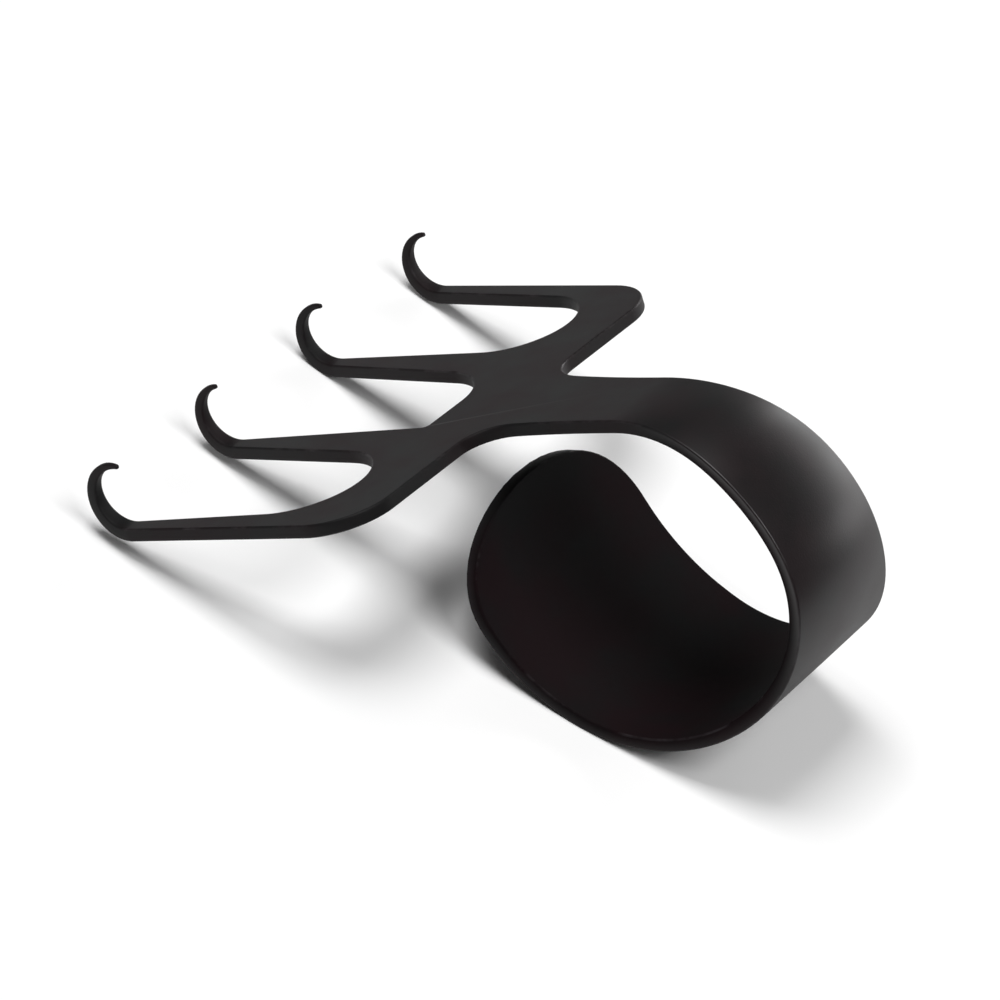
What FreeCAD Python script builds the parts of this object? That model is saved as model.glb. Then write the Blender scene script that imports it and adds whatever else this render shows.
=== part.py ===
import FreeCAD, Part
import math
import os
from FreeCAD import Vector

# Hand-held rake retractor with a finger ring: one piece of sheet steel, sizes in millimetres.
# A blank is cut to its outline, its long strip is rolled into an open finger ring that ends in a
# rounded paddle, and its four prongs are ground to points and bent back into hooks.
#
# The flat head is modelled first, with its upper face in the plane z = 0 and the roll of the ring
# starting at x = 0. The prongs point along -X, and Y runs across the row of prongs. At the end the
# piece is turned into the pose in which it lies on a table, on its ring and on the hooks' heels.

# Sheet
SHEET = 1.0                # thickness of the steel
EDGE_BREAK = 0.15          # leg of the small bevel that takes the sharpness off every cut edge

# Head and neck
HEAD_WIDTH = 38.9          # across the head at its back corners
HEAD_BACK = 10.75          # from the start of the roll to the back edge of the head
HEAD_CORNER = 4.5          # radius of the two back corners
NECK_CORNER = 2.95         # radius where the neck runs into the head
NECK_WIDTH = 8.6           # across the neck where it meets the head
WAIST_WIDTH = 7.0          # across the narrowest place, where the roll starts

# Prongs; where there is a value for each of them, the first is for the prong at +Y
PRONG_PITCH = 13.0
NOTCH_RADIUS = 4.85        # of the round bottom of each notch between two prongs
OUTER_NOTCH_BACK = 15.2    # from the start of the roll to the bottom of each outer notch
MIDDLE_NOTCH_BACK = 15.6   # and to the bottom of the middle notch
HEEL_WIDTH = 1.4           # a prong where its hook starts
HEEL_SPLAY = 0.35          # how far a prong has leant outwards by then
PRONG_REACH = 31.4         # from the start of the roll to where a prong's hook starts, its heel
REACH_SHIFTS = (0.5, 0.9, -0.3, -1.0)     # how much further each prong reaches

# Hooks, bent by hand, so that no two are quite alike
HOOK_RADIUS = 2.18         # inside the bend
HOOK_CURL = (174.0, 181.0, 171.5, 191.0)  # degrees that each hook turns through
TIP_WIDTH = 0.32
TIP_THICKNESS = 0.3
NARROWING = 1.15           # how late a hook gets narrow and thin on its way to the tip: 1 is evenly
THINNING = 2.2             # all along, and a higher power is later

# Finger ring: outer radii of its arcs in order, and the degrees that each arc sweeps through
TOP_RADIUS = 13.0
BACK_RADIUS = 10.35
BASE_RADIUS = 12.0
PADDLE_RADIUS = 16.1
RING_RADII = (TOP_RADIUS, BACK_RADIUS, BASE_RADIUS, PADDLE_RADIUS)
ARC_ANGLES = (72.0, 72.0, 72.0, 62.0)
# Widths of the strip between the waist and the paddle, at headings in degrees round the ring
STRIP_WIDTHS = (9.5, 10.8, 16.9)
STRIP_ANGLES = (45.0, 90.0, 180.0)
PADDLE_WIDTH = 20.0
PADDLE_HEADING = 250.5     # heading at which the strip is widest and its rounded end begins

# How finely the curves that are worked out here are followed, in degrees
RIM_ANGLE_STEP = 15.0      # between points of the strip's rim
HOOK_ANGLE_STEP = 15.0     # between cross-sections of a hook
REST_ANGLE_STEP = 0.25     # between the points that are tried for contact with the table

OVERCUT = 0.5              # how far a cutting face runs past the sheet on each side
SAME_PLACE = 1e-3          # places closer together than this count as one
SAME_TILT = 1e-7           # and so do tilts, in radians


# Finger ring

def ring_centres():
    """Centres of the ring's arcs in the x-z plane, each arc tangent to the one before."""
    heading = 0.0
    radius = RING_RADII[0]
    x, z = 0.0, -radius
    centres = []
    for sweep, next_radius in zip(ARC_ANGLES, RING_RADII):
        turn = math.radians(heading)
        x += (radius - next_radius) * math.sin(turn)
        z += (radius - next_radius) * math.cos(turn)
        centres.append((x, z))
        radius = next_radius
        heading += sweep
    return centres


RING_CENTRES = ring_centres()
RING_END = sum(ARC_ANGLES)


def ring_point(heading, depth=0.0, y=0.0):
    """Point at a heading round the ring, a depth below its outer face."""
    end = 0.0
    for sweep, radius, (x, z) in zip(ARC_ANGLES, RING_RADII, RING_CENTRES):
        end += sweep
        if heading <= end:
            break
    turn = math.radians(heading)
    return Vector(x + (radius - depth) * math.sin(turn), y, z + (radius - depth) * math.cos(turn))


def width_law():
    """Smooth curve of half-width over heading, level where it meets the neck and the paddle."""
    headings = (0.0,) + STRIP_ANGLES + (PADDLE_HEADING,)
    widths = (WAIST_WIDTH,) + STRIP_WIDTHS + (PADDLE_WIDTH,)
    points = [Vector(heading, width / 2.0, 0.0) for heading, width in zip(headings, widths)]
    law = Part.BSplineCurve()
    law.interpolate(Points=points, Parameters=[point.x for point in points],
                    InitialTangent=Vector(1, 0, 0), FinalTangent=Vector(1, 0, 0), Scale=False)
    return law


def rim_stations():
    """Headings and half-widths along one rim, from the waist to the middle of the paddle's end."""
    law = width_law()
    steps = round(PADDLE_HEADING / RIM_ANGLE_STEP)
    headings = [PADDLE_HEADING * step / steps for step in range(steps + 1)]
    stations = [(heading, law.value(heading).y) for heading in headings]
    # The paddle's end is half an ellipse, laid on the curved strip.
    steps = round(90.0 / RIM_ANGLE_STEP)
    for step in range(1, steps + 1):
        turn = math.radians(90.0 * step / steps)
        heading = PADDLE_HEADING + (RING_END - PADDLE_HEADING) * math.sin(turn)
        stations.append((heading, PADDLE_WIDTH / 2.0 * math.cos(turn)))
    return stations


def rim_curve(side, depth):
    """Smooth curve along the rim on one side, to the middle of the paddle's end."""
    points = [ring_point(heading, depth, side * half) for heading, half in rim_stations()]
    curve = Part.BSplineCurve()
    curve.interpolate(Points=points, InitialTangent=Vector(1, 0, 0),
                      FinalTangent=Vector(0, -side, 0), Scale=False)
    return curve.toShape()


def rolled_band():
    """Sheet rolled to the ring's profile, wider and a little longer than the finished strip."""
    span = PADDLE_WIDTH + 2.0 * OVERCUT
    overrun = math.degrees(2.0 * OVERCUT / PADDLE_RADIUS)
    headings = [0.0]
    for sweep in ARC_ANGLES:
        headings.append(headings[-1] + sweep)
    headings[-1] += overrun
    edges = []
    for depth in (0.0, SHEET):
        for start, end in zip(headings, headings[1:]):
            arc = [ring_point(heading, depth, -span / 2.0)
                   for heading in (start, (start + end) / 2.0, end)]
            edges.append(Part.Arc(*arc).toShape())
    for heading in (headings[0], headings[-1]):
        edges.append(Part.makeLine(ring_point(heading, 0.0, -span / 2.0),
                                   ring_point(heading, SHEET, -span / 2.0)))
    profile = Part.Wire(Part.__sortEdges__(edges))
    return Part.Face(profile).extrude(Vector(0, span, 0))


def finger_ring():
    """Open ring with its paddle: the rolled band, cut square to its face along both rims."""
    walls = [Part.makeRuledSurface(rim_curve(side, SHEET + OVERCUT), rim_curve(side, -OVERCUT))
             for side in (1, -1)]
    pieces = rolled_band().generalFuse(walls)[0]
    core = ring_point(RING_END / 2.0, SHEET / 2.0)
    return next(solid for solid in pieces.Solids if solid.isInside(core, SAME_PLACE, False))


# Outline of the head; a side of +1 faces +Y and one of -1 faces -Y

HEEL_REACH = [PRONG_REACH + shift for shift in REACH_SHIFTS]
PRONG_COUNT = len(HEEL_REACH)
ROOT_X = -max(OUTER_NOTCH_BACK, MIDDLE_NOTCH_BACK) - NOTCH_RADIUS


def prong_y(index):
    """Nominal y of a prong."""
    return PRONG_PITCH * ((PRONG_COUNT - 1) / 2.0 - index)


def heel_y(index):
    """Y of the middle of a prong where its hook starts."""
    return prong_y(index) + math.copysign(HEEL_SPLAY, prong_y(index))


def notch_centre(index):
    """Centre of the round bottom of the notch between a prong and the next."""
    middle = index == (PRONG_COUNT - 2) / 2.0
    back = MIDDLE_NOTCH_BACK if middle else OUTER_NOTCH_BACK
    return Vector(-back - NOTCH_RADIUS, (prong_y(index) + prong_y(index + 1)) / 2.0, 0.0)


def prong_side(index, side):
    """Two ends of a prong's straight side: on the notch or the head's corner, and at the heel."""
    heel = Vector(-HEEL_REACH[index], heel_y(index) + side * HEEL_WIDTH / 2.0, 0.0)
    notch = index - 1 if side > 0 else index
    if notch < 0 or notch > PRONG_COUNT - 2:
        return Vector(-HEAD_BACK, side * HEAD_WIDTH / 2.0, 0.0), heel
    # The side touches the round bottom of the notch that it faces.
    centre = notch_centre(notch)
    reach = heel - centre
    turn = math.atan2(reach.y, reach.x) + side * math.acos(NOTCH_RADIUS / reach.Length)
    return centre + Vector(math.cos(turn), math.sin(turn), 0.0) * NOTCH_RADIUS, heel


def root_point(index, side):
    """Point at which a prong's side crosses its root."""
    start, heel = prong_side(index, side)
    return start + (heel - start) * ((start.x - ROOT_X) / (start.x - heel.x))


def side_edges(side):
    """Outline of the neck and head on one side, from the waist to the outer prong's root."""
    index = 0 if side > 0 else PRONG_COUNT - 1
    waist = Vector(0.0, side * WAIST_WIDTH / 2.0, 0.0)
    neck = Vector(-HEAD_BACK, side * NECK_WIDTH / 2.0, 0.0)
    corner = prong_side(index, side)[0]
    # The neck's sides are parabolas that leave the waist straight along the strip.
    flare = Part.BezierCurve()
    flare.setPoles([waist, Vector(neck.x / 2.0, waist.y, 0.0), neck])
    return [flare.toShape(), Part.makeLine(neck, corner),
            Part.makeLine(corner, root_point(index, side))]


def notch_edges(index):
    """Outline of the notch between a prong and the next, from root to root."""
    bottom = notch_centre(index) + Vector(NOTCH_RADIUS, 0.0, 0.0)
    upper, lower = prong_side(index, -1)[0], prong_side(index + 1, 1)[0]
    return [Part.makeLine(root_point(index, -1), upper), Part.Arc(upper, bottom, lower).toShape(),
            Part.makeLine(lower, root_point(index + 1, 1))]


# Head

def corner_edges(plate, x, half_width):
    """The plate's two upright edges that stand at x and at plus and minus the half-width."""
    return [edge for edge in plate.Edges
            if abs(edge.BoundBox.XMin - x) < SAME_PLACE and abs(edge.BoundBox.XMax - x) < SAME_PLACE
            and abs(abs(edge.BoundBox.Center.y) - half_width) < SAME_PLACE
            and edge.BoundBox.ZLength > SHEET / 2.0]


def head():
    """Flat head and neck with the notches between the prongs, up to the prongs' roots."""
    edges = side_edges(1) + side_edges(-1)
    edges.append(Part.makeLine(Vector(0.0, WAIST_WIDTH / 2.0, 0.0),
                               Vector(0.0, -WAIST_WIDTH / 2.0, 0.0)))
    for index in range(PRONG_COUNT):
        edges.append(Part.makeLine(root_point(index, -1), root_point(index, 1)))
    for index in range(PRONG_COUNT - 1):
        edges += notch_edges(index)
    outline = Part.Wire(Part.__sortEdges__(edges))
    plate = Part.Face(outline).extrude(Vector(0, 0, -SHEET))
    plate = plate.makeFillet(HEAD_CORNER, corner_edges(plate, -HEAD_BACK, HEAD_WIDTH / 2.0))
    return plate.makeFillet(NECK_CORNER, corner_edges(plate, -HEAD_BACK, NECK_WIDTH / 2.0))


def cut_edges(sheet):
    """Edges where a face of the sheet meets its cut side, apart from those at the prongs' roots."""
    found = []
    for edge in sheet.Edges:
        if edge.BoundBox.XMax < ROOT_X + SAME_PLACE:
            continue
        middle = edge.valueAt((edge.FirstParameter + edge.LastParameter) / 2.0)
        normals = [face.normalAt(*face.Surface.parameter(middle))
                   for face in sheet.ancestorsOfType(edge, Part.Face)]
        if abs(normals[0].dot(normals[-1])) < 0.5:
            found.append(edge)
    return found


# Prongs and hooks

def section(centre, down, width, thickness):
    """Cross-section of a prong with its broken edges, in the plane of Y and the direction down."""
    bevel = min(EDGE_BREAK, 0.3 * width, 0.3 * thickness)
    out, deep = width / 2.0, thickness / 2.0
    quarter = ((out, deep - bevel), (out - bevel, deep))
    ring = []
    for side, depth in ((1, 1), (-1, 1), (-1, -1), (1, -1)):
        corners = quarter if side == depth else quarter[::-1]
        ring += [centre + Vector(0, 1, 0) * (side * y) + down * (depth * z) for y, z in corners]
    return Part.makePolygon(ring + ring[:1])


def hook_frame(index, turn):
    """Point inside a hook's bend after a turn in degrees, and the way to the bend's outside."""
    angle = math.radians(turn)
    inside = Vector(-HEEL_REACH[index] - HOOK_RADIUS * math.sin(angle), heel_y(index),
                    HOOK_RADIUS * (1.0 - math.cos(angle)))
    return inside, Vector(-math.sin(angle), 0.0, -math.cos(angle))


def hook_thickness(index, turn):
    """Thickness of a hook after a turn in degrees."""
    return SHEET + (TIP_THICKNESS - SHEET) * (turn / HOOK_CURL[index]) ** THINNING


def hook_section(index, turn):
    """Cross-section of a hook after a turn in degrees."""
    inside, down = hook_frame(index, turn)
    thickness = hook_thickness(index, turn)
    width = HEEL_WIDTH + (TIP_WIDTH - HEEL_WIDTH) * (turn / HOOK_CURL[index]) ** NARROWING
    return section(inside + down * (thickness / 2.0), down, width, thickness)


def prong(index, sheet):
    """Tapered prong with its hook: a straight part and a bent part that share a cross-section."""
    low, high = root_point(index, -1), root_point(index, 1)
    root = (low + high) / 2.0 - Vector(0, 0, SHEET / 2.0)
    end_face = next(face for face in sheet.Faces if face.BoundBox.XMax < ROOT_X + SAME_PLACE
                    and abs(face.BoundBox.Center.y - root.y) < NOTCH_RADIUS)
    # The bent part starts a little before the bend, so that it leaves the prong in line.
    heel = Vector(-HEEL_REACH[index], heel_y(index), -SHEET / 2.0)
    lead = math.radians(HOOK_ANGLE_STEP) * HOOK_RADIUS / (root - heel).Length
    joint = section(heel + (root - heel) * lead, Vector(0, 0, -1),
                    HEEL_WIDTH + ((high - low).Length - HEEL_WIDTH) * lead, SHEET)
    straight = Part.makeLoft([end_face.OuterWire, joint], True, True)
    steps = round(HOOK_CURL[index] / HOOK_ANGLE_STEP)
    turns = [HOOK_CURL[index] * step / steps for step in range(steps + 1)]
    bent = Part.makeLoft([joint] + [hook_section(index, turn) for turn in turns], True, False)
    return straight.fuse(bent)


# Pose at rest

def lowest(points, tilt):
    """Least height of the points once the head is tilted up towards the ring by an angle."""
    return min(point.x * math.sin(tilt) + point.z * math.cos(tilt) for point in points)


def rest_tilt():
    """Tilt in radians at which the ring and the furthest heel touch the table together."""
    steps = round(RING_END / REST_ANGLE_STEP)
    ring = [ring_point(RING_END * step / steps) for step in range(steps + 1)]
    heels = []
    for index in range(PRONG_COUNT):
        steps = round(HOOK_CURL[index] / REST_ANGLE_STEP)
        for step in range(steps + 1):
            turn = HOOK_CURL[index] * step / steps
            inside, down = hook_frame(index, turn)
            heels.append(inside + down * hook_thickness(index, turn))
    low, high = 0.0, math.pi / 2.0
    while high - low > SAME_TILT:
        tilt = (low + high) / 2.0
        if lowest(ring, tilt) < lowest(heels, tilt):
            low = tilt
        else:
            high = tilt
    return low


def at_rest(shape):
    """The shape in its resting pose, standing on z = 0 with the middle of its length at x = 0."""
    shape = shape.copy()
    shape.rotate(Vector(0, 0, 0), Vector(0, 1, 0), -math.degrees(rest_tilt()))
    box = shape.optimalBoundingBox(False, False)
    shape.translate(Vector(-box.Center.x, 0.0, -box.ZMin))
    return shape


def finger_ring_rake():
    """The whole retractor as one solid."""
    sheet = head().fuse(finger_ring()).removeSplitter()
    sheet = sheet.makeChamfer(EDGE_BREAK, cut_edges(sheet))
    whole = sheet.fuse([prong(index, sheet) for index in range(PRONG_COUNT)])
    return at_rest(whole.Solids[0])


os.makedirs("parts", exist_ok=True)
finger_ring_rake().exportStep("parts/finger_ring_rake.step")
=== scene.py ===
import logging
import math
from dataclasses import dataclass, field
from enum import Enum
from typing import Callable

import bmesh
import bpy
from mathutils import Euler, Matrix, Vector


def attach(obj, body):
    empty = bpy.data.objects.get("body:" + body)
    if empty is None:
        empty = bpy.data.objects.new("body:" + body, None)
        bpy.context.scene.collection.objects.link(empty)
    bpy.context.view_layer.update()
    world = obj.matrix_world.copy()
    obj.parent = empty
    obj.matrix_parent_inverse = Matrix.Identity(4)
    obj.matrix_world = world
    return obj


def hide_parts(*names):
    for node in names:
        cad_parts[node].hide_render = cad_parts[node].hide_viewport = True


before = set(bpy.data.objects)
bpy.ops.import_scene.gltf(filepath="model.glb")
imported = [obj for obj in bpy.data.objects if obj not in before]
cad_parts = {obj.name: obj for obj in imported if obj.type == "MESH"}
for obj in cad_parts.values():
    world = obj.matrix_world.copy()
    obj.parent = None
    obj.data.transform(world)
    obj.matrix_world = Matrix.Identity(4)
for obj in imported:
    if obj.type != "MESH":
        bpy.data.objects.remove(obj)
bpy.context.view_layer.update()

LOG = logging.getLogger("retractor")

# The retractor is made as the real one is. A flat blank of sheet steel is cut to its outline, its
# strip is rolled into the finger ring, its prongs are bent back into hooks and ground to points,
# and its edges are broken. All sizes here are in millimetres, and METRE turns them to metres.
#
# The blank lies with its upper face in the plane z = 0. The prongs point along -X, the strip along
# +X, and the roll of the ring starts at x = 0.
METRE = 0.001

SAME_PLACE = 0.01    # places closer together than this count as one
SCRIBE_REACH = 1e-8  # a scribed line takes in a point that is this near it, in metres
SHARP_EDGE = 50.0    # an edge that turns by more degrees than this was cut, and gets broken
SMOOTH_EDGE = 40.0   # an edge that turns by fewer degrees than this is shaded smooth
FLAT_EDGE = 0.2      # faces that meet at fewer degrees than this are made one


class Side(Enum):
    """The two sides of the blank, by the way that they face along Y."""

    FAR = 1
    NEAR = -1


def metres(*lengths: float) -> Vector:
    """A place in metres from its coordinates in millimetres."""
    return Vector(lengths) * METRE


def linear(code: str) -> tuple[float, float, float, float]:
    """Turns an sRGB colour to the linear one that a shader takes.

    Args:
        code: The colour as hex digits, such as "#2b2a2c".

    Returns:
        Red, green, blue and an alpha of 1.
    """
    parts = [int(code[i:i + 2], 16) / 255.0 for i in (1, 3, 5)]
    shares = [c / 12.92 if c <= 0.04045 else ((c + 0.055) / 1.055) ** 2.4 for c in parts]
    return (shares[0], shares[1], shares[2], 1.0)


def add_node(tree: bpy.types.NodeTree, kind: str, links: dict[str, object] | None = None,
             **settings: object) -> bpy.types.Node:
    """Adds a node to a tree, with its settings and links.

    Args:
        tree: The node tree.
        kind: The node's type, such as "ShaderNodeTexNoise".
        links: For each input, by name, either the output socket that feeds it or its value.
        settings: The node's own properties.

    Returns:
        The new node.
    """
    node = tree.nodes.new(kind)
    for name, value in settings.items():
        setattr(node, name, value)
    for name, value in (links or {}).items():
        socket = node.inputs[int(name)] if name.isdigit() else node.inputs[name]
        if isinstance(value, bpy.types.NodeSocket):
            tree.links.new(value, socket)
        else:
            socket.default_value = value
    return node


class Blank:
    """The sheet of steel on the bench, open in edit mode while it is cut and bent."""

    def __init__(self, name: str) -> None:
        """Lays a new square of sheet on the bench.

        Args:
            name: The name of the finished piece.
        """
        bpy.ops.object.select_all(action="DESELECT")
        bpy.ops.mesh.primitive_plane_add(size=METRE)
        self.piece: bpy.types.Object = bpy.context.object
        self.piece.name = name
        self.piece.data.name = name
        bpy.ops.object.mode_set(mode="EDIT")
        bpy.ops.mesh.select_mode(type="VERT")

    def pick(self, test: Callable[[Vector], bool]) -> int:
        """Selects the points that pass a test, and the edges and faces between them.

        Args:
            test: Takes a point's place in millimetres.

        Returns:
            How many points are selected.
        """
        bpy.ops.mesh.select_all(action="DESELECT")
        mesh = bmesh.from_edit_mesh(self.piece.data)
        for point in mesh.verts:
            point.select_set(test(point.co / METRE))
        mesh.select_flush(True)
        bmesh.update_edit_mesh(self.piece.data)
        return sum(point.select for point in mesh.verts)

    def cut_across(self, y: float) -> None:
        """Scribes a straight line along the blank at a height y, from edge to edge."""
        bpy.ops.mesh.select_all(action="SELECT")
        bpy.ops.mesh.bisect(plane_co=metres(0, y, 0), plane_no=(0, 1, 0),
                            threshold=SCRIBE_REACH)

    def scale(self, factors: tuple[float, float, float], about: Vector) -> None:
        """Scales what is selected about a place in millimetres."""
        bpy.ops.transform.resize(value=factors, center_override=about * METRE)

    def shift(self, way: Vector) -> None:
        """Moves what is selected by a distance in millimetres."""
        bpy.ops.transform.translate(value=way * METRE)

    def form(self, places: list[Vector]) -> None:
        """Presses the selected points, in their order along Y, to new places.

        Args:
            places: The new place of each point, in millimetres.
        """
        mesh = bmesh.from_edit_mesh(self.piece.data)
        points = sorted((p for p in mesh.verts if p.select), key=lambda point: point.co.y)
        for point, place in zip(points, places):
            point.co = place * METRE
        bmesh.update_edit_mesh(self.piece.data)

    def draw_out(self, places: list[Vector]) -> None:
        """Extrudes the selected edge, which runs along Y, to new places in millimetres."""
        bpy.ops.mesh.extrude_region_move()
        self.form(places)

    def roll(self, centre: Vector, angle: float, steps: int) -> None:
        """Spins the selected edge about an axis along Y, down and round as a roller bends sheet.

        Args:
            centre: A place on the axis, in millimetres.
            angle: How far to spin, in degrees.
            steps: How many faces the arc is made of.
        """
        bpy.ops.mesh.spin(steps=steps, angle=-math.radians(angle), center=centre * METRE,
                          axis=(0, 1, 0), use_auto_merge=False)

    def round_corner(self, place: Vector, reach: float, steps: int = 14) -> None:
        """Rounds a corner of the outline.

        Args:
            place: The corner, in millimetres.
            reach: How far along both edges the round starts.
            steps: How many edges the round is made of.
        """
        self.pick(lambda point: (point - place).length < SAME_PLACE)
        bpy.ops.mesh.bevel(affect="VERTICES", offset=reach * METRE, segments=steps, profile=0.5,
                           clamp_overlap=False)

    def face_up(self) -> None:
        """Selects the whole blank and turns all its faces to the side that is up at the head."""
        bpy.ops.mesh.select_all(action="SELECT")
        bpy.ops.mesh.normals_make_consistent(inside=False)
        mesh = bmesh.from_edit_mesh(self.piece.data)
        largest = max(mesh.faces, key=lambda face: face.calc_area())
        if largest.normal.z < 0:
            bpy.ops.mesh.flip_normals()

    def off_bench(self) -> bpy.types.Object:
        """Ends edit mode and gives the piece."""
        bpy.ops.object.mode_set(mode="OBJECT")
        return self.piece


@dataclass
class Prong:
    """One tapered prong and its hook."""

    y: float
    reach: float
    curl: float
    heel_width: float = 1.4
    splay: float = 0.35
    bend_radius: float = 2.18
    tip_width: float = 0.32
    tip_thickness: float = 0.3
    narrowing: float = 1.15
    thinning: float = 2.2
    past_any_curl: float = 350.0
    steps: int = 30

    def heel(self, side: Side | None = None) -> Vector:
        """The place where the hook starts: a side of the prong there, or its middle."""
        middle = self.y + math.copysign(self.splay, self.y)
        return Vector((-self.reach, middle + (side.value * self.heel_width / 2 if side else 0), 0))

    def turn_at(self, point: Vector) -> float | None:
        """How far round the hook a point on the bend's inside lies.

        Args:
            point: A place in millimetres.

        Returns:
            The share of the hook's curl, from 0 at the heel to 1 at the tip, or None for a point
            that isn't on this hook.
        """
        heel = self.heel()
        before_heel = point.x > heel.x + SAME_PLACE and point.z < SAME_PLACE
        if abs(point.y - heel.y) > self.heel_width or before_heel:
            return None
        away = point - heel - Vector((0, 0, self.bend_radius))
        turn = math.degrees(math.atan2(-away.x, -away.z)) % 360.0
        # The heel itself may come out a hair under a full turn.
        if turn > self.past_any_curl:
            turn = 0.0
        return min(turn / self.curl, 1.0)

    def bend(self, blank: Blank) -> None:
        """Draws the hook out of the heel, rolled back on itself, and narrows it to its tip.

        Args:
            blank: The blank, with the prong's straight part cut.
        """
        heel = self.heel()
        blank.pick(lambda point: abs(point.x - heel.x) < SAME_PLACE
                   and abs(point.y - heel.y) < self.heel_width)
        axis = heel + Vector((0, 0, self.bend_radius))
        for step in range(1, self.steps + 1):
            blank.roll(axis, self.curl / self.steps, 1)
            before = self.width((step - 1) / self.steps)
            blank.scale((1, self.width(step / self.steps) / before, 1), heel)

    def width(self, share: float) -> float:
        """The hook's width at a share of the way from heel to tip."""
        return self.heel_width + (self.tip_width - self.heel_width) * share ** self.narrowing

    def wall(self, share: float, sheet: float) -> float:
        """The hook's thickness at a share of the way, ground down from the sheet's."""
        return sheet + (self.tip_thickness - sheet) * share ** self.thinning


@dataclass
class Head:
    """The flat head, with the notches between its prongs, and the neck behind it."""

    width: float = 38.9
    back: float = 10.75
    corner: float = 4.5
    neck_corner: float = 2.95
    neck_width: float = 8.6
    waist_width: float = 7.0
    notch_radius: float = 4.85
    outer_notch_back: float = 15.2
    middle_notch_back: float = 15.6
    # Shares of the neck's length, with a longer first step that leaves room for the corner's round.
    neck_steps: tuple[float, ...] = (0.7, 0.6, 0.5, 0.4, 0.3, 0.2, 0.1, 0.0)
    # The neck meets the head at more than a right angle, so the round there starts nearer to it.
    neck_round: float = 0.87
    neck_round_steps: int = 8
    notch_flat: float = 0.002
    scribe_margin: float = 0.5
    prongs: list[Prong] = field(default_factory=lambda: [
        Prong(19.5, 31.9, 174.0), Prong(6.5, 32.3, 181.0),
        Prong(-6.5, 31.1, 171.5), Prong(-19.5, 30.4, 191.0)])

    def notch_back(self, notch: int) -> float:
        """Distance from the roll to the bottom of a notch, counted from the far side."""
        return self.middle_notch_back if notch == 1 else self.outer_notch_back

    def notch_corner(self, index: int, side: Side) -> Vector:
        """The sharp corner that a prong's side would make with the bottom of the notch beside it.

        Args:
            index: The prong, counted from the far side.
            side: The side of the prong.

        Returns:
            The corner's place. For the outer side of an outer prong it is on the head's own side,
            level with the notch's bottom.
        """
        prong = self.prongs[index]
        heel = prong.heel(side)
        notch = index - 1 if side is Side.FAR else index
        if notch in (-1, len(self.prongs) - 1):
            start = Vector((-self.back, side.value * self.width / 2, 0))
            share = (self.outer_notch_back - self.back) / (prong.reach - self.back)
            return start + (heel - start) * share
        back = self.notch_back(notch)
        middle = (self.prongs[notch].y + self.prongs[notch + 1].y) / 2
        centre = Vector((-back - self.notch_radius, middle, 0))
        reach = centre - heel
        lean = math.asin(self.notch_radius / reach.length)
        slope = math.tan(math.atan2(reach.y, reach.x) + side.value * -lean)
        return Vector((-back, heel.y + (-back - heel.x) * slope, 0))

    def cut(self, blank: Blank) -> None:
        """Cuts the head, its prongs up to their heels, and the neck.

        Args:
            blank: A square of sheet.
        """
        front, back = -self.outer_notch_back, -self.back
        outer = self.notch_corner(0, Side.FAR)
        blank.pick(lambda point: True)
        blank.scale(((front - back) / -1.0, self.width, 1), Vector((0, 0, 0)))
        blank.shift(Vector(((front + back) / 2, 0, 0)))
        blank.pick(lambda point: point.x < (front + back) / 2)
        blank.scale((1, outer.y * 2 / self.width, 1), Vector((front, 0, 0)))
        self.cut_neck(blank)
        # The prongs' roots are scribed on the plate, which leaves an edge for each.
        for index in range(len(self.prongs)):
            for side in Side:
                if abs(self.notch_corner(index, side).y) < outer.y - self.scribe_margin:
                    blank.cut_across(self.notch_corner(index, side).y)
        middle = self.notch_corner(1, Side.NEAR)
        blank.pick(lambda point: point.x < front + SAME_PLACE
                   and abs(point.y) < middle.y + SAME_PLACE)
        blank.shift(Vector((middle.x - front, 0, 0)))
        for index, prong in enumerate(self.prongs):
            low, high = self.notch_corner(index, Side.NEAR), self.notch_corner(index, Side.FAR)
            blank.pick(lambda point: min((point - low).length, (point - high).length)
                       < 2 * SAME_PLACE)
            blank.draw_out([prong.heel(Side.NEAR), prong.heel(Side.FAR)])
        blank.face_up()
        bpy.ops.mesh.dissolve_limited(angle_limit=math.radians(FLAT_EDGE))
        self.round_outline(blank)

    def cut_neck(self, blank: Blank) -> None:
        """Draws the neck out of the head's back edge, with sides that curve in to the waist."""
        half = self.neck_width / 2
        for y in (half, -half):
            blank.cut_across(y)
        blank.pick(lambda point: point.x > -self.back - SAME_PLACE
                   and abs(point.y) < half + SAME_PLACE)
        for share in self.neck_steps:
            x = -self.back * share
            y = self.waist_width / 2 + (self.neck_width - self.waist_width) / 2 * share ** 2
            blank.draw_out([Vector((x, -y, 0)), Vector((x, y, 0))])

    def round_outline(self, blank: Blank) -> None:
        """Rounds the corners of the notches, of the head's back and where the neck joins it."""
        for notch in range(len(self.prongs) - 1):
            upper = self.notch_corner(notch, Side.NEAR)
            lower = self.notch_corner(notch + 1, Side.FAR)
            reach = (upper.y - lower.y) / 2 - self.notch_flat
            for place in (upper, lower):
                blank.round_corner(place, reach)
        for side in Side:
            place = Vector((-self.back, side.value * self.width / 2, 0))
            blank.round_corner(place, self.corner)
            place = Vector((-self.back, side.value * self.neck_width / 2, 0))
            blank.round_corner(place, self.neck_corner * self.neck_round, self.neck_round_steps)


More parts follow.
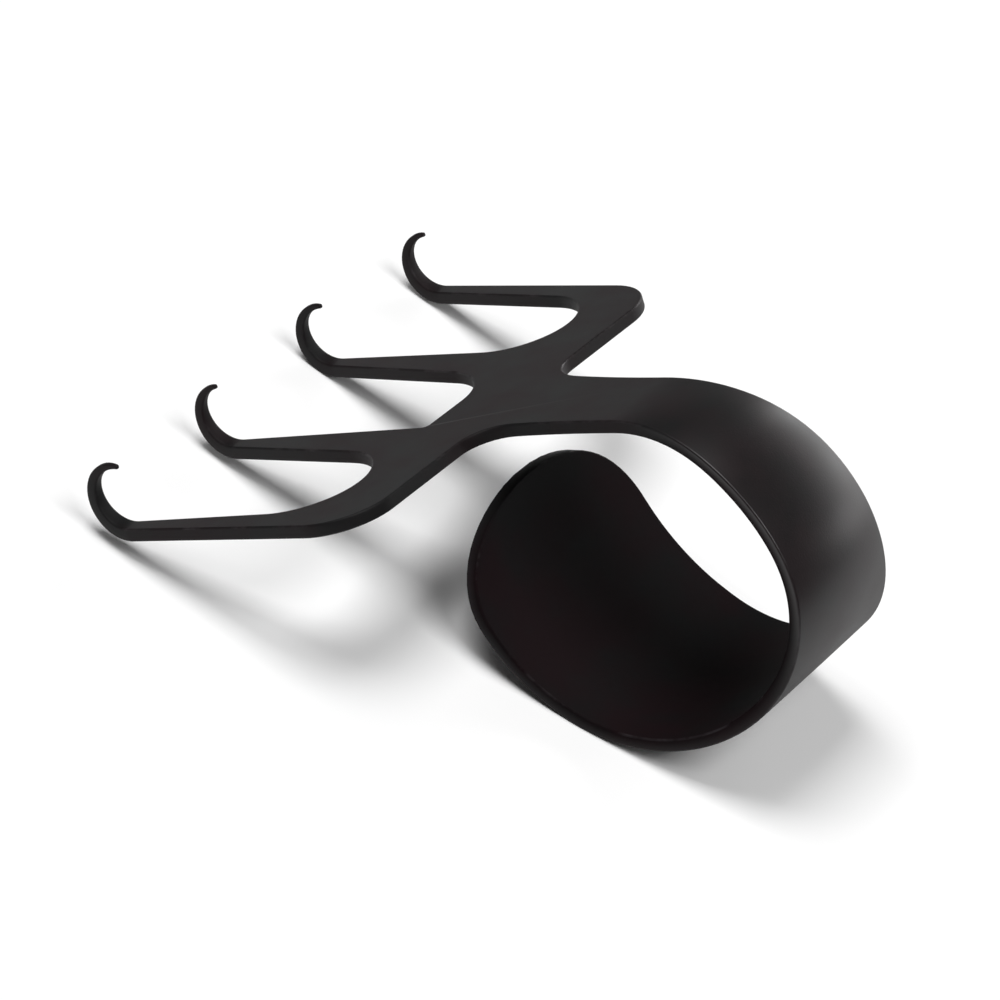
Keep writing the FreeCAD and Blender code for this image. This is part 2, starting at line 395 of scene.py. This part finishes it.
@dataclass
class FingerRing:
    """The strip behind the neck, rolled into an open ring that ends in a rounded paddle."""

    arcs: tuple[tuple[float, float], ...] = ((72, 13.0), (72, 10.35), (72, 12.0), (62, 16.1))
    waist_width: float = 7.0
    widths: tuple[tuple[float, float], ...] = ((45, 9.5), (90, 10.8), (180, 16.9))
    paddle_width: float = 20.0
    paddle_heading: float = 250.5
    crown: float = 0.5
    rubbed_from: tuple[float, float] = (5.0, 45.0)
    rubbed_fade: tuple[float, float] = (78.0, 155.0)
    head_satin: float = 0.36
    crown_onset: tuple[float, float] = (0.0, 40.0)
    crown_fade: tuple[float, float] = (100.0, 150.0)
    cells_across: int = 8
    step: float = 3.0
    end_steps: int = 15
    tip_flat: float = 0.7

    @property
    def end(self) -> float:
        """Heading of the paddle's tip, in degrees round the ring from the waist."""
        return sum(sweep for sweep, _ in self.arcs)

    def arc_at(self, heading: float) -> tuple[Vector, float]:
        """Centre and outer radius of the arc at a heading, each arc tangent to the last."""
        start, centre = 0.0, Vector((0, 0, -self.arcs[0][1]))
        for (sweep, radius), (_, following) in zip(self.arcs, self.arcs[1:]):
            start += sweep
            if heading < start - 0.001:
                return centre, radius
            turn = math.radians(start)
            centre = centre + Vector((math.sin(turn), 0, math.cos(turn))) * (radius - following)
        return centre, self.arcs[-1][1]

    def half_width(self, heading: float) -> float:
        """Half the strip's width at a heading: a smooth curve, level at the waist and the paddle.

        Args:
            heading: Degrees round the ring from the waist.

        Returns:
            The half-width in millimetres, down to nothing at the paddle's tip.
        """
        if heading > self.paddle_heading:
            share = min((heading - self.paddle_heading) / (self.end - self.paddle_heading), 1.0)
            return self.paddle_width / 2 * math.sqrt(1.0 - share * share)
        knots = [(0.0, self.waist_width), *self.widths, (self.paddle_heading, self.paddle_width)]
        at, wide = [k[0] for k in knots], [k[1] / 2 for k in knots]
        slopes = self.slopes(at, wide)
        i = max(n for n in range(len(at) - 1) if heading >= at[n] or n == 0)
        span = at[i + 1] - at[i]
        s = (heading - at[i]) / span
        return ((1 + 2 * s) * (1 - s) ** 2 * wide[i] + s * (1 - s) ** 2 * span * slopes[i]
                + s * s * (3 - 2 * s) * wide[i + 1] - s * s * (1 - s) * span * slopes[i + 1])

    @staticmethod
    def slopes(at: list[float], wide: list[float]) -> list[float]:
        """Slopes of the smoothest curve through the given widths, level at both ends.

        Args:
            at: Headings of the knots.
            wide: Half-widths at the knots.

        Returns:
            The slope at each knot.
        """
        slopes = [0.0] * len(at)
        # Each round brings every slope nearer to the one that its neighbours ask for.
        for _ in range(60):
            for i in range(1, len(at) - 1):
                a, b = at[i] - at[i - 1], at[i + 1] - at[i]
                rise = 3 * ((wide[i] - wide[i - 1]) / a ** 2 + (wide[i + 1] - wide[i]) / b ** 2)
                slopes[i] = (rise - slopes[i - 1] / a - slopes[i + 1] / b) / (2 / a + 2 / b)
        return slopes

    def headings(self) -> list[float]:
        """Headings of the cross-sections: even along the strip, closer towards the paddle's tip."""
        bounds, total = [0.0], 0.0
        for sweep, _ in self.arcs[:-1]:
            total += sweep
            bounds.append(total)
        found = [0.0]
        for start, end in zip(bounds, [*bounds[1:], self.paddle_heading]):
            steps = round((end - start) / self.step)
            found += [start + (end - start) * n / steps for n in range(1, steps + 1)]
        last = math.acos(self.tip_flat / self.paddle_width)
        turns = [last * n / self.end_steps for n in range(1, self.end_steps + 1)]
        return found + [self.paddle_heading + (self.end - self.paddle_heading) * math.sin(t)
                        for t in turns]

    @staticmethod
    def ease(heading: float, span: tuple[float, float]) -> float:
        """A smooth step from 0 to 1 over a span of headings."""
        share = min(max((heading - span[0]) / (span[1] - span[0]), 0.0), 1.0)
        return share * share * (3 - 2 * share)

    def satin(self, point: Vector, sheet: float) -> float:
        """How satin the coating is at a place.

        Args:
            point: A place on the piece, in millimetres, with the head level.
            sheet: The thickness of the sheet.

        Returns:
            0 where it is dull, inside the ring, a share for the head, and 1 on the ring's outside.
        """
        start = 0.0
        for sweep, radius in self.arcs:
            away = point - self.arc_at(start + sweep / 2)[0]
            heading = math.degrees(math.atan2(away.x, away.z)) % 360.0
            out = math.hypot(away.x, away.z) - radius
            if start <= heading <= start + sweep and abs(out) < 2 * sheet:
                share = self.ease(heading, self.rubbed_from)
                if out < -sheet / 2:
                    return self.head_satin * (1 - share)
                rubbed = share - self.ease(heading, self.rubbed_fade)
                return self.head_satin + (1 - self.head_satin) * rubbed
            start += sweep
        return self.head_satin

    def section(self, heading: float) -> list[Vector]:
        """The strip's outer face across its width at a heading.

        Round the back of the finger the strip is a little barrelled: its edges are on the arc, and
        its middle stands out by the crown.

        Args:
            heading: Degrees round the ring from the waist.

        Returns:
            Places from the near edge to the far one, in millimetres.
        """
        centre, radius = self.arc_at(heading)
        turn = math.radians(heading)
        half = self.half_width(heading)
        share = self.ease(heading, self.crown_onset) - self.ease(heading, self.crown_fade)
        crown = self.crown * share
        places = []
        for cell in range(self.cells_across + 1):
            across = 2 * cell / self.cells_across - 1
            reach = radius + crown * (1 - across ** 2)
            away = Vector((math.sin(turn) * reach, half * across, math.cos(turn) * reach))
            places.append(centre + away)
        return places

    def roll(self, blank: Blank) -> None:
        """Rolls the strip out of the waist, section by section, and presses each to its form.

        Args:
            blank: The blank, with its head and neck cut.
        """
        blank.pick(lambda point: abs(point.x) < SAME_PLACE and abs(point.z) < SAME_PLACE)
        bpy.ops.mesh.subdivide(number_cuts=self.cells_across - 1)
        headings = self.headings()
        for last, heading in zip(headings, headings[1:]):
            centre, _ = self.arc_at(last)
            blank.roll(centre, heading - last, 1)
            blank.form(self.section(heading))


@dataclass(frozen=True)
class BlackCoatedSteel:
    """Blasted stainless steel with a baked black coating, fine grained and near black.

    Light spreads wide on the blasted head and dies quickly, so it shows an even eggshell and no
    clear reflections. The ring's outside is rubbed to satin by the neighbouring fingers, so it
    carries the one broad highlight, and its inside stays dull. Edges are burnished: still black,
    but they catch a thin line of light here and there.
    """

    body: str = "#0c0b0c"
    warm: str = "#13080b"
    rubbed: str = "#2c282a"
    dull_roughness: float = 0.72
    satin_roughness: float = 0.35
    edge_roughness: float = 0.34
    dull_sheen: float = 0.06
    satin_sheen: float = 0.46
    unevenness: float = 0.03
    grain_mm: float = 0.13
    grain_depth_mm: float = 0.02
    cloud_mm: float = 6.0
    wear_mm: float = 3.2

    def material(self) -> bpy.types.Material:
        """Makes the coating's material.

        Returns:
            A material that reads object coordinates and the attributes edge_wear and satin.
        """
        made = bpy.data.materials.new("black_coated_steel")
        made.use_nodes = True
        tree = made.node_tree
        tree.nodes.clear()
        place = add_node(tree, "ShaderNodeTexCoord").outputs["Object"]
        # The coating's colour drifts between neutral and reddish black, over a few millimetres.
        cloud = add_node(tree, "ShaderNodeTexNoise", {
            "Vector": place, "Scale": 1.0 / (self.cloud_mm * METRE),
            "Detail": 3.0, "Roughness": 0.55})
        drift = add_node(tree, "ShaderNodeMapRange", {
            "Value": cloud.outputs["Fac"], "From Min": 0.38, "From Max": 0.62})
        tone = add_node(tree, "ShaderNodeMix", {
            "0": drift.outputs["Result"], "6": linear(self.body), "7": linear(self.warm)},
            data_type="RGBA")
        # Rubbed places come and go along the edges.
        patches = add_node(tree, "ShaderNodeTexNoise", {
            "Vector": place, "Scale": 1.0 / (self.wear_mm * METRE),
            "Detail": 4.0, "Roughness": 0.65})
        rubbing = add_node(tree, "ShaderNodeMapRange", {
            "Value": patches.outputs["Fac"], "From Min": 0.5, "From Max": 0.7})
        edge = add_node(tree, "ShaderNodeAttribute", attribute_name="edge_wear")
        wear = add_node(tree, "ShaderNodeMath", {
            "0": edge.outputs["Fac"], "1": rubbing.outputs["Result"]}, operation="MULTIPLY")
        colour = add_node(tree, "ShaderNodeMix", {
            "0": wear.outputs[0], "6": tone.outputs["Result"], "7": linear(self.rubbed)},
            data_type="RGBA")
        # Rubbing makes the coating smoother, and so does a thicker spot of it.
        satin = add_node(tree, "ShaderNodeAttribute", attribute_name="satin")
        smooth = add_node(tree, "ShaderNodeMapRange", {
            "Value": satin.outputs["Fac"],
            "To Min": self.dull_roughness, "To Max": self.satin_roughness})
        uneven = add_node(tree, "ShaderNodeMapRange", {
            "Value": cloud.outputs["Fac"], "From Min": 0.3, "From Max": 0.7,
            "To Min": -self.unevenness, "To Max": self.unevenness})
        rough = add_node(tree, "ShaderNodeMath", {
            "0": smooth.outputs["Result"], "1": uneven.outputs["Result"]}, operation="ADD")
        rough = add_node(tree, "ShaderNodeMix", {
            "0": wear.outputs[0], "2": rough.outputs[0], "3": self.edge_roughness})
        sheen = add_node(tree, "ShaderNodeMapRange", {
            "Value": satin.outputs["Fac"], "To Min": self.dull_sheen, "To Max": self.satin_sheen})
        # The blasted grain shows through the coating as a fine, shallow bump.
        grain = add_node(tree, "ShaderNodeTexNoise", {
            "Vector": place, "Scale": 1.0 / (self.grain_mm * METRE),
            "Detail": 2.0, "Roughness": 0.6})
        bump = add_node(tree, "ShaderNodeBump", {
            "Height": grain.outputs["Fac"], "Strength": 0.3,
            "Distance": self.grain_depth_mm * METRE})
        shader = add_node(tree, "ShaderNodeBsdfPrincipled", {
            "Base Color": colour.outputs["Result"], "Roughness": rough.outputs["Result"],
            "Specular IOR Level": sheen.outputs["Result"], "Normal": bump.outputs["Normal"]})
        add_node(tree, "ShaderNodeOutputMaterial", {"Surface": shader.outputs["BSDF"]})
        return made


@dataclass
class Retractor:
    """The whole retractor: one sheet, cut, rolled, bent, ground and coated."""

    head: Head = field(default_factory=Head)
    ring: FingerRing = field(default_factory=FingerRing)
    thickness: float = 1.0
    edge_round: float = 0.16
    edge_share: float = 0.3
    edge_steps: int = 4
    rest_tilt: float = 35.1513
    rest_place: tuple[float, float, float] = (5.563, 0.0, 19.9756)
    node: str = "finger_ring_rake"

    def build(self) -> bpy.types.Object:
        """Makes the piece, in its resting pose.

        Returns:
            The finished object, at the origin with its place in its mesh.
        """
        blank = Blank("rake_retractor")
        self.head.cut(blank)
        LOG.info("head and neck cut, with %d prongs", len(self.head.prongs))
        self.ring.roll(blank)
        LOG.info("finger ring rolled through %.0f degrees", self.ring.end)
        for prong in self.head.prongs:
            prong.bend(blank)
            LOG.info("hook bent through %.0f degrees", prong.curl)
        blank.face_up()
        piece = blank.off_bench()
        self.thicken(piece)
        self.break_edges(piece)
        self.lay_down(piece)
        return piece

    def hook_share(self, point: Vector) -> float:
        """How far round a hook a point lies, from 0 for the heel and all else, to 1 at a tip."""
        for prong in self.head.prongs:
            share = prong.turn_at(point)
            if share is not None:
                return share
        return 0.0

    def thicken(self, piece: bpy.types.Object) -> None:
        """Gives the sheet its thickness, ground down evenly round each hook.

        Args:
            piece: The bent blank, which is the outer face of the ring and the inner one of hooks.
        """
        hook = piece.vertex_groups.new(name="hook")
        wall = piece.vertex_groups.new(name="wall")
        for point in piece.data.vertices:
            share = self.hook_share(point.co / METRE)
            hook.add([point.index], share, "REPLACE")
            left = self.head.prongs[0].wall(share, self.thickness) / self.thickness
            wall.add([point.index], left, "REPLACE")
        sheet = piece.modifiers.new("sheet", "SOLIDIFY")
        sheet.thickness = self.thickness * METRE
        sheet.offset = -1.0
        sheet.use_even_offset = True
        sheet.vertex_group = wall.name
        bpy.ops.object.modifier_apply(modifier=sheet.name)

    def break_edges(self, piece: bpy.types.Object) -> None:
        """Rounds every cut edge, less so towards the hooks' tips, and marks the rounds for wear.

        Args:
            piece: The thick piece.
        """
        data = piece.data
        group = piece.vertex_groups["hook"].index
        shares = [next(entry.weight for entry in point.groups if entry.group == group)
                  for point in data.vertices]
        mesh = bmesh.new()
        mesh.from_mesh(data)
        weight = mesh.edges.layers.float.new("bevel_weight_edge")
        prong = self.head.prongs[0]
        for edge in mesh.edges:
            if len(edge.link_faces) == 2 and edge.calc_face_angle() > math.radians(SHARP_EDGE):
                share = max(shares[point.index] for point in edge.verts)
                small = min(prong.wall(share, self.thickness), prong.width(share))
                edge[weight] = min(1.0, self.edge_share * small / self.edge_round)
        mesh.to_mesh(data)
        mesh.free()
        # A second, temporary slot tells the rounds' faces from the rest.
        data.materials.append(None)
        data.materials.append(None)
        rounds = piece.modifiers.new("rounds", "BEVEL")
        rounds.width = self.edge_round * METRE
        rounds.segments = self.edge_steps
        rounds.limit_method = "WEIGHT"
        rounds.use_clamp_overlap = False
        rounds.material = 1
        bpy.ops.object.modifier_apply(modifier=rounds.name)
        worn = data.attributes.new("edge_wear", "FLOAT", "POINT")
        wear = [1.0] * len(data.vertices)
        for face in data.polygons:
            if face.material_index == 0:
                for index in face.vertices:
                    wear[index] = 0.0
        worn.data.foreach_set("value", wear)
        satin = data.attributes.new("satin", "FLOAT", "POINT")
        satin.data.foreach_set("value", [
            self.ring.satin(point.co / METRE, self.thickness) for point in data.vertices])
        for face in data.polygons:
            face.material_index = 0
        data.materials.clear()
        piece.vertex_groups.clear()

    def lay_down(self, piece: bpy.types.Object) -> None:
        """Turns the piece to its resting pose and stands it where the CAD part stands.

        Args:
            piece: The finished shape, with its head level.
        """
        piece.rotation_euler = Euler((0, -math.radians(self.rest_tilt), 0))
        bpy.ops.object.transform_apply(location=False, rotation=True, scale=False)
        piece.location = metres(*self.rest_place)
        bpy.ops.object.transform_apply(location=True, rotation=False, scale=False)

    def dress(self, piece: bpy.types.Object, finish: BlackCoatedSteel) -> None:
        """Coats the piece and shades it smooth.

        Args:
            piece: The finished shape.
            finish: The coating.
        """
        piece.data.materials.append(finish.material())
        bpy.ops.object.shade_smooth_by_angle(angle=math.radians(SMOOTH_EDGE))
        even = piece.modifiers.new("even", "WEIGHTED_NORMAL")
        even.keep_sharp = True
        even.weight = 90
        bpy.ops.object.modifier_apply(modifier=even.name)
        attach(piece, "root")
        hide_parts(self.node)


@dataclass
class Lamp:
    """One soft box, with its middle, width and height in millimetres and its power in watts."""

    name: str
    place: tuple[float, float, float]
    width: float
    height: float
    power: float

    def hang(self, target: Vector) -> None:
        """Hangs the lamp and points it at a target, in metres."""
        data = bpy.data.lights.new(self.name, "AREA")
        data.shape = "RECTANGLE"
        data.size = self.width * METRE
        data.size_y = self.height * METRE
        data.energy = self.power
        lamp = bpy.data.objects.new(self.name, data)
        lamp.location = metres(*self.place)
        lamp.rotation_euler = (target - lamp.location).to_track_quat("-Z", "Y").to_euler()
        bpy.context.collection.objects.link(lamp)


@dataclass
class Studio:
    """A plain pale floor, two soft boxes overhead, two low windows behind and an even pale room."""

    floor_edge: float = 4000.0
    floor_colour: str = "#fdfdfd"
    room_level: float = 0.06
    lit_place: tuple[float, float, float] = (0.0, 0.0, 10.0)
    lamps: tuple[Lamp, ...] = (
        Lamp("overhead_box", (-290.0, -60.0, 950.0), 450.0, 450.0, 6.3),
        Lamp("side_box", (480.0, -150.0, 860.0), 450.0, 450.0, 4.3),
        Lamp("back_window", (30.0, 950.0, 215.0), 600.0, 260.0, 3.7),
        Lamp("side_window", (500.0, 850.0, 180.0), 300.0, 220.0, 0.9),
    )

    def build(self) -> None:
        """Lays the floor, hangs the lamps and lights the room."""
        bpy.ops.object.select_all(action="DESELECT")
        bpy.ops.mesh.primitive_plane_add(size=self.floor_edge * METRE)
        floor = bpy.context.object
        floor.name = "floor"
        floor.data.materials.append(self.floor_material())
        for lamp in self.lamps:
            lamp.hang(metres(*self.lit_place))
        world = bpy.data.worlds.new("room")
        bpy.context.scene.world = world
        world.use_nodes = True
        tree = world.node_tree
        tree.nodes.clear()
        glow = add_node(tree, "ShaderNodeBackground", {
            "Color": linear("#ffffff"), "Strength": self.room_level})
        add_node(tree, "ShaderNodeOutputWorld", {"Surface": glow.outputs[0]})

    def floor_material(self) -> bpy.types.Material:
        """White card: matt, with no highlight of its own."""
        made = bpy.data.materials.new("white_card")
        made.use_nodes = True
        tree = made.node_tree
        tree.nodes.clear()
        card = add_node(tree, "ShaderNodeBsdfDiffuse", {"Color": linear(self.floor_colour)})
        add_node(tree, "ShaderNodeOutputMaterial", {"Surface": card.outputs[0]})
        return made


@dataclass
class PhotoCamera:
    """The camera of the photograph: a long lens, from above the near side, rolled to the right."""

    aim: tuple[float, float, float] = (1.685, -8.333, 12.79)
    distance: float = 306.87
    azimuth: float = 24.0876
    elevation: float = 40.444
    roll: float = 17.0348
    lens: float = 161.786
    sensor: float = 36.0

    def build(self) -> None:
        """Makes the camera and sets it as the scene's."""
        data = bpy.data.cameras.new("photo_camera")
        data.lens = self.lens
        data.sensor_width = self.sensor
        data.clip_start = 0.01
        data.clip_end = 100.0
        camera = bpy.data.objects.new("photo_camera", data)
        bpy.context.collection.objects.link(camera)
        turn, rise = math.radians(self.azimuth), math.radians(self.elevation)
        level = math.cos(rise)
        back = Vector((math.sin(turn) * level, -math.cos(turn) * level, math.sin(rise)))
        upright = (-back).to_track_quat("-Z", "Y").to_matrix().to_4x4()
        tilt = Matrix.Rotation(math.radians(self.roll), 4, "Z")
        camera.matrix_world = (Matrix.Translation(metres(*self.aim) + back * self.distance * METRE)
                               @ upright @ tilt)
        bpy.context.scene.camera = camera


def main() -> None:
    """Builds the retractor, the studio and the camera."""
    logging.basicConfig(level=logging.INFO, format="%(message)s")
    retractor = Retractor()
    piece = retractor.build()
    retractor.dress(piece, BlackCoatedSteel())
    LOG.info("%s: %d faces", piece.name, len(piece.data.polygons))
    Studio().build()
    PhotoCamera().build()
    bpy.context.scene.view_settings.view_transform = "Standard"


if __name__ == "__main__":
    main()
